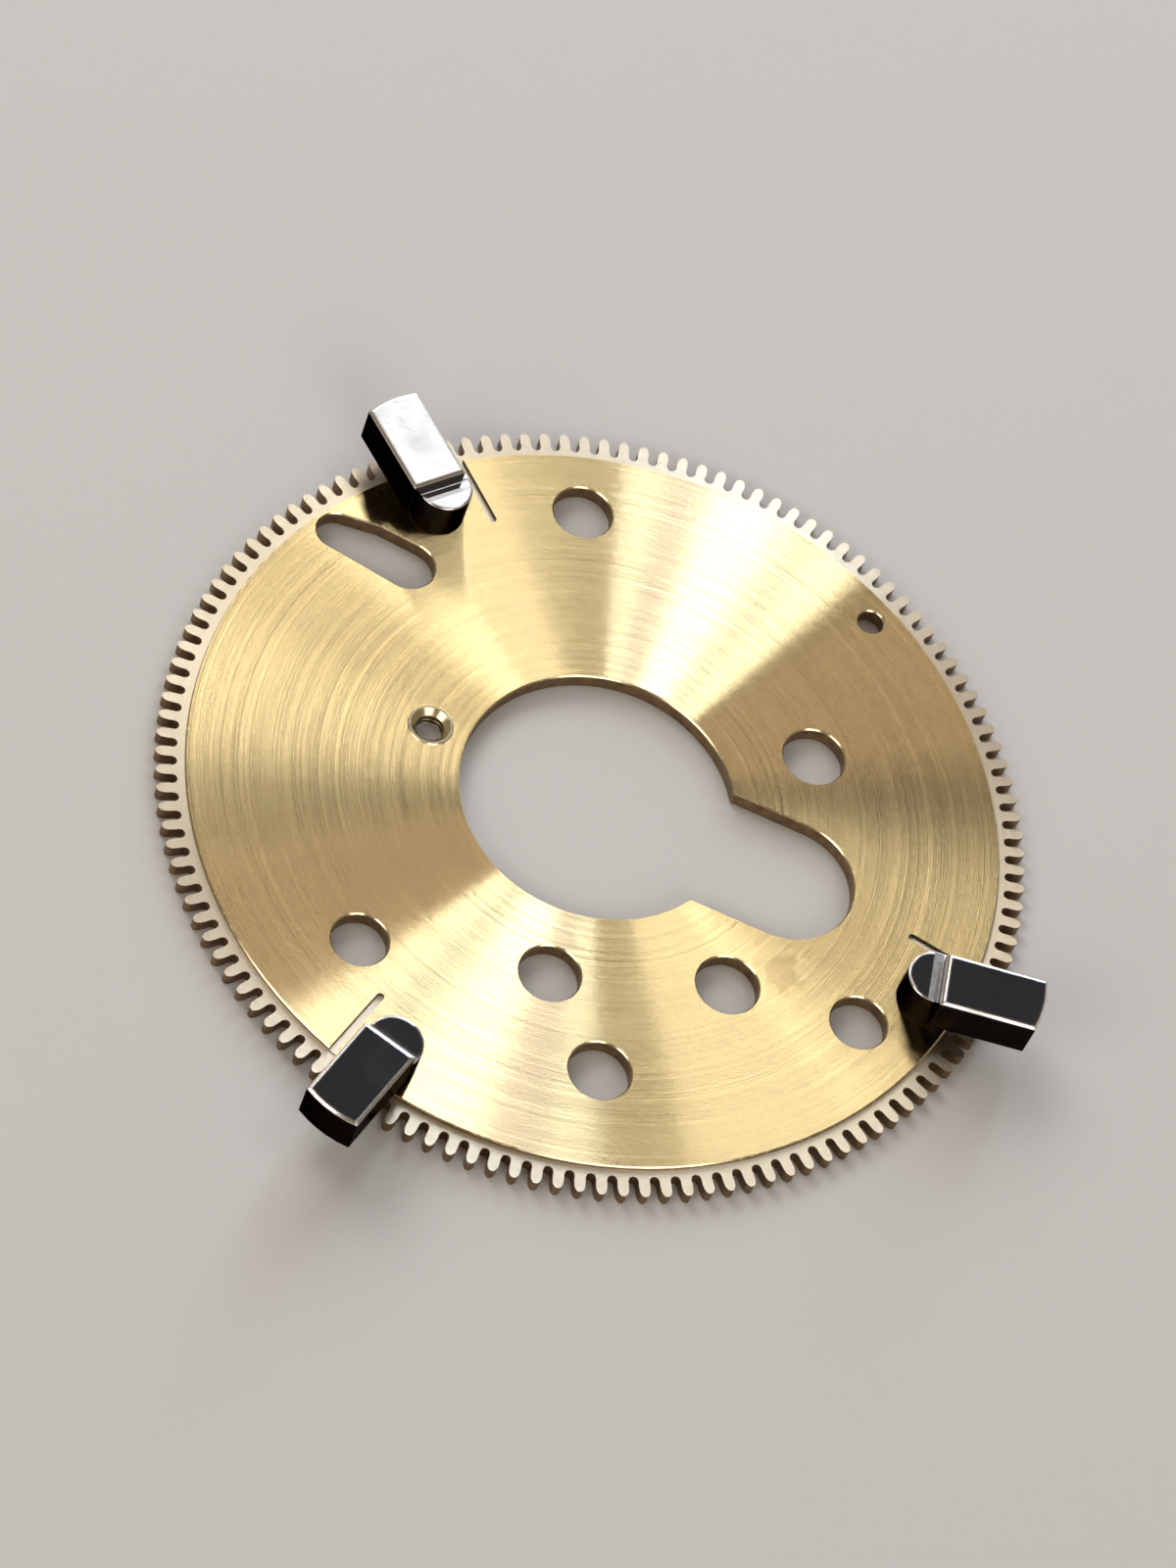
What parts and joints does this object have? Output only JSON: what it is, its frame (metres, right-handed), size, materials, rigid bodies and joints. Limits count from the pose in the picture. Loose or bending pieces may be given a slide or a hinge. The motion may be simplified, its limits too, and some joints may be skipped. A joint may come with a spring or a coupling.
{
  "type": "toothed watch movement holding plate",
  "caption": "Thin brass disc toothed round its rim, with a keyhole opening, a bean slot, plain holes, a threaded bush and turnable stepped steel clamps that reach over the teeth.",
  "frame": {"origin": "axis of the central bore, at the plate's underside", "axes": "+Z along the bore, out of the grained face; +X along the keyhole slot"},
  "size_m": [0.0275, 0.0278, 0.0024],
  "materials": {
    "grained_brass": "circular-grained brass, bright at the teeth",
    "bush_brass": "turned and polished brass",
    "polished_steel": "mirror-polished hardened steel with a brushed step",
    "screw_steel": "turned steel",
    "washer_bronze": "rolled spring bronze"
  },
  "bodies": {
    "plate": {"gear_plate": "grained_brass", "threaded_bush": "bush_brass", "friction_washer_1": "washer_bronze", "friction_washer_2": "washer_bronze", "friction_washer_3": "washer_bronze"},
    "clamp_1": {"clamp_1": "polished_steel", "pivot_screw_1": "screw_steel"},
    "clamp_2": {"clamp_2": "polished_steel", "pivot_screw_2": "screw_steel"},
    "clamp_3": {"clamp_3": "polished_steel", "pivot_screw_3": "screw_steel"}
  },
  "joints": [
    {"name": "clamp_1_turn", "type": "hinge", "parent": "plate", "child": "clamp_1", "pos_m": [-0.00796, 0.00719, 0.00055], "axis": [0, 0, 1], "continuous": true},
    {"name": "clamp_2_turn", "type": "hinge", "parent": "plate", "child": "clamp_2", "pos_m": [0.0111, -0.002, 0.00055], "axis": [0, 0, 1], "continuous": true},
    {"name": "clamp_3_turn", "type": "hinge", "parent": "plate", "child": "clamp_3", "pos_m": [-0.00248, -0.01139, 0.00055], "axis": [0, 0, 1], "continuous": true}
  ]
}
